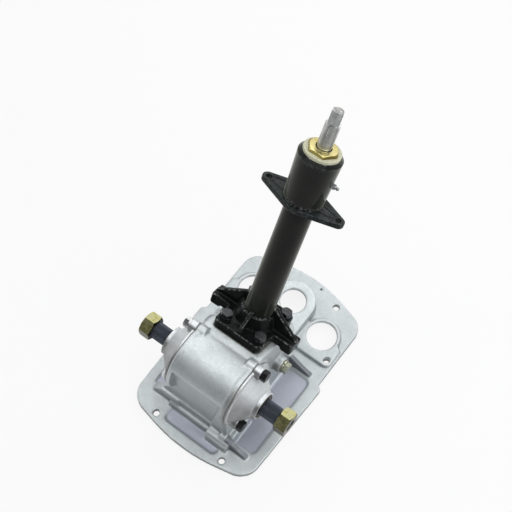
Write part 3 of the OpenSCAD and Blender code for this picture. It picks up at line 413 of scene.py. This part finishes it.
# painted light: the covers get a paler copy of the casting paint, so that they look more lit
silver_cover = cast_paint("silver_cover", (0.670, 0.700, 0.710), (0.590, 0.620, 0.635), grain=0.7)
black = black_gloss("black_enamel", spec=0.055)
black_tube = black_gloss("black_enamel_tube", lumps=0.10, wear_and_glint=0, spec=0.07, sheen=0.36)
black_sleeve = black_gloss("black_enamel_sleeve", lumps=0.10, spec=0.085, sheen=0.40)
black_flange = black_gloss("black_enamel_flange", dust=0.55, lumps=0.2, wear_and_glint=0.15)
zinc = plated("yellow_zinc", (0.350, 0.325, 0.120), (0.450, 0.435, 0.210), (0.420, 0.420, 0.265),
              facet_shade=(0.028, 0.020, 0.004))
brass = plated("brass_nut", (0.50, 0.43, 0.16), (0.62, 0.54, 0.23), (0.58, 0.52, 0.28),
               facet_shade=(0.20, 0.15, 0.04))
cream = dull_sheet("cream_washer", (0.55, 0.54, 0.36), (0.66, 0.66, 0.50), 0.5)
spline_steel = toothed("oiled_spline", ROCKER, (0, math.pi / 2, 0), SPLINE_ROOT, SPLINE_CREST,
                       SPLINE_STRETCH, (0.108, 0.123, 0.152), (0.036, 0.042, 0.055), (0.46, 0.58))
bright_steel = toothed("serrated_steel", WORM, (-TILT, 0, 0), SERRATION_ROOT, SERRATION_CREST,
                       SERRATION_STRETCH, (0.80, 0.81, 0.79), (0.23, 0.235, 0.23))
thread_steel = steel("thread_steel", (0.30, 0.31, 0.31), (0.19, 0.20, 0.20))
grey_steel = steel("grey_steel", (0.30, 0.31, 0.32), (0.20, 0.21, 0.22))
gear_steel = steel("hardened_steel", (0.42, 0.43, 0.45), (0.30, 0.31, 0.33))
ball_steel = steel("ball_steel", (0.66, 0.67, 0.68), (0.58, 0.59, 0.60), rough=(0.08, 0.16))
silver_bolt = plated("white_zinc_bolt", (0.50, 0.51, 0.52), (0.62, 0.63, 0.64), (0.55, 0.56, 0.56))
olive_plug = plated("olive_plug", (0.26, 0.27, 0.21), (0.36, 0.37, 0.29), (0.44, 0.44, 0.36))
black_bolt = steel("black_oxide_bolt", (0.030, 0.031, 0.033), (0.018, 0.018, 0.020), rough=(0.32, 0.5))
grey_bolt = steel("phosphate_bolt", (0.075, 0.077, 0.080), (0.045, 0.046, 0.050), rough=(0.34, 0.5))
seal_metal = steel("seal_shell", (0.085, 0.075, 0.055), (0.050, 0.045, 0.038))
bronze = plated("bronze_bush", (0.50, 0.32, 0.14), (0.62, 0.42, 0.20), (0.56, 0.40, 0.22))
gasket = dull_sheet("gasket_paper", (0.22, 0.22, 0.21), (0.34, 0.34, 0.32))
shim = dull_sheet("shim_paper", (0.10, 0.09, 0.07), (0.17, 0.15, 0.12))
fibre = dull_sheet("fibre_washer", (0.26, 0.24, 0.19), (0.38, 0.36, 0.30))

LOOK = {
    silver: "gear_housing",
    silver_cover: "side_cover_left side_cover_right",
    black: "column_base",
    black_flange: "panel_flange",
    black_tube: "column_tube",
    black_sleeve: "column_sleeve",
    zinc: "rocker_nut_left rocker_nut_right",
    grey_steel: "grease_nipple",
    brass: "bush_nut",
    cream: "dust_washer",
    spline_steel: "rocker_shaft",
    bright_steel: "steering_shaft",
    gear_steel: "ball_nut upper_bearing_cup lower_bearing_cup return_tube tube_clamp clamp_screws",
    ball_steel: "nut_balls upper_bearing_balls lower_bearing_balls",
    silver_bolt: "cover_bolts_left cover_washers_left",
    olive_plug: "filler_plug",
    black_bolt: "cover_bolts_right cover_washers_right",
    grey_bolt: "column_bolts column_washers",
    seal_metal: "rocker_seal_left rocker_seal_right",
    bronze: "rocker_bush_left rocker_bush_right thrust_washers upper_bush",
    gasket: "cover_gasket_left cover_gasket_right",
    shim: "column_shim",
    fibre: "plug_washer",
}
for look, names in LOOK.items():
    for name in names.split():
        mesh = nodes[name].data
        mesh.materials.clear()
        mesh.materials.append(look)


# soft and broken edges
def cast_skin(name, voxel, rounds, keep):
    """Rounds the edges and corners of a casting, as sand moulding and paint do."""
    node = nodes[name]
    skin = node.modifiers.new("skin", "REMESH")
    skin.mode = "VOXEL"
    skin.voxel_size = voxel
    skin.use_smooth_shade = True
    soft = node.modifiers.new("soft", "SMOOTH")
    soft.factor = 0.5
    soft.iterations = rounds
    lean = node.modifiers.new("lean", "DECIMATE")
    lean.ratio = keep


def edge_round(name, width):
    """Breaks the sharp edges of a machined piece."""
    node = nodes[name]
    weld = node.modifiers.new("weld", "WELD")
    weld.merge_threshold = WELD_GAP
    cut = node.modifiers.new("edges", "BEVEL")
    cut.width = width
    cut.segments = 2
    cut.limit_method = "ANGLE"
    cut.angle_limit = SHARP_ANGLE
    cut.use_clamp_overlap = True
    shade = node.modifiers.new("shade", "WEIGHTED_NORMAL")
    shade.keep_sharp = False


cast_skin("gear_housing", 0.0017, 8, 0.22)
cast_skin("side_cover_left", 0.0012, 6, 0.25)
cast_skin("side_cover_right", 0.0012, 6, 0.25)
cast_skin("column_base", 0.0013, 5, 0.25)

EDGE_WIDTHS = {
    "rocker_nut_left rocker_nut_right bush_nut filler_plug": 0.0007,
    "cover_bolts_left cover_bolts_right column_bolts": 0.0007,
    "cover_washers_left cover_washers_right column_washers dust_washer plug_washer": 0.0005,
    "panel_flange": 0.0014,
    "column_sleeve": 0.0022,
}
for names, width in EDGE_WIDTHS.items():
    for name in names.split():
        edge_round(name, width)


# thread of the wheel nut
def thread(name, look, body):
    """Helical ridge on the tip of the steering shaft, run out at both ends."""
    bm = bmesh.new()
    steps = int((THREAD_HIGH - THREAD_LOW) / THREAD_PITCH * THREAD_STEPS)
    root = THREAD_R - THREAD_SUNK
    foot = THREAD_ROOT_HALF * THREAD_PITCH
    tip = THREAD_CREST_HALF * THREAD_PITCH
    rows = []
    for i in range(steps + 1):
        turn = math.tau * i / THREAD_STEPS
        z = THREAD_LOW + THREAD_PITCH * i / THREAD_STEPS
        crest = THREAD_R + THREAD_DEPTH * min(1.0, i / THREAD_RUN_OUT, (steps - i) / THREAD_RUN_OUT)
        ring = []
        for reach, rise in ((root, -foot), (crest, -tip), (crest, tip), (root, foot)):
            point = Vector((reach * math.cos(turn), reach * math.sin(turn), z + rise))
            ring.append(bm.verts.new(COLUMN @ point))
        rows.append(ring)
    for a, b in zip(rows, rows[1:]):
        for k in range(4):
            bm.faces.new((a[k], a[(k + 1) % 4], b[(k + 1) % 4], b[k]))
    bm.faces.new(rows[0][::-1])
    bm.faces.new(rows[-1])
    bmesh.ops.recalc_face_normals(bm, faces=bm.faces)
    mesh = bpy.data.meshes.new(name)
    bm.to_mesh(mesh)
    bm.free()
    mesh.materials.append(look)
    ob = bpy.data.objects.new(name, mesh)
    scene.collection.objects.link(ob)
    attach(ob, body)


thread("wheel_thread", thread_steel, "steering")


# stage and light
def studio_white(name, lit):
    """White where it is looked at or mirrored, and an ordinary pale surface to the light."""
    s = Shade(name)
    _, seen = s.rays()
    glow = s.put("ShaderNodeEmission", {"Color": (1, 1, 1, 1), "Strength": 1.0}).outputs[0]
    paint = s.put("ShaderNodeBsdfDiffuse", {"Color": FLOOR_PAINT}).outputs[0]
    both = s.put("ShaderNodeMixShader", {0: s.calc("MULTIPLY", seen, lit), 1: paint, 2: glow})
    s.tree.links.new(both.outputs[0], s.out.inputs["Surface"])
    return s.mat


floor_mesh = bpy.data.meshes.new("floor")
corners = [(x * FLOOR_HALF, y * FLOOR_HALF, FLOOR_Z) for x, y in ((-1, -1), (1, -1), (1, 1), (-1, 1))]
floor_mesh.from_pydata(corners, [], [(0, 1, 2, 3)])
floor = bpy.data.objects.new("floor", floor_mesh)
scene.collection.objects.link(floor)
floor_mesh.materials.append(studio_white("studio_floor", FLOOR_LIT))

# the room is white all round, apart from what metal and enamel mirror of its dark side
world = bpy.data.worlds.new("studio")
scene.world = world
world.use_nodes = True
room = Nodes(world.node_tree)
camera_ray, seen = room.rays()
ray = room.put("ShaderNodeTexCoord").outputs["Generated"]
front = room.put("ShaderNodeVectorMath", {0: ray, 1: DARK_SIDE}, operation="DOT_PRODUCT").outputs["Value"]
wall = room.ramp(front, (DARK_FROM, (1, 1, 1)), (DARK_FULL, DARK_LEVEL))
wall = room.calc("MAXIMUM", wall, camera_ray)
white = room.put("ShaderNodeBackground", {"Color": wall, "Strength": 1.0}).outputs[0]
sky = room.put("ShaderNodeBackground", {"Color": (0.93, 0.96, 1.0, 1), "Strength": SKY_LEVEL}).outputs[0]
both = room.put("ShaderNodeMixShader", {0: seen, 1: sky, 2: white}).outputs[0]
room.put("ShaderNodeOutputWorld", {"Surface": both})


def softbox(name, place, aim, size, power, tint=(1, 1, 1)):
    """A flat lamp at a place, turned to shine at another."""
    lamp = bpy.data.lights.new(name, "AREA")
    lamp.shape = "RECTANGLE"
    lamp.size, lamp.size_y = size
    lamp.energy = power
    lamp.color = tint
    ob = bpy.data.objects.new(name, lamp)
    scene.collection.objects.link(ob)
    ob.location = place
    ob.rotation_mode = "QUATERNION"
    ob.rotation_quaternion = (Vector(aim) - Vector(place)).to_track_quat("-Z", "Y")


WARM = (1.0, 0.99, 0.975)
COOL = (0.95, 0.97, 1.0)
softbox("key", (0, 1.15, 2.3), (0, 0.9, 0), (3.2, 4.3), 43, WARM)
softbox("rear", (-0.5, 2.4, 1.5), (0, 0, 0.2), (1.6, 1.0), 8, WARM)
softbox("fill", (1.8, 0.1, 1.5), (0, 0.05, 0.15), (1.2, 0.9), 9, COOL)
for i, x in enumerate((-1.15, -0.55, 0.10)):
    softbox(f"bulb_{i + 1}", (x, -0.18, 2.5), (0, 0.2, 0.4), (0.09, 0.09), 0.8)

# bring the scene up to date
bpy.context.view_layer.update()
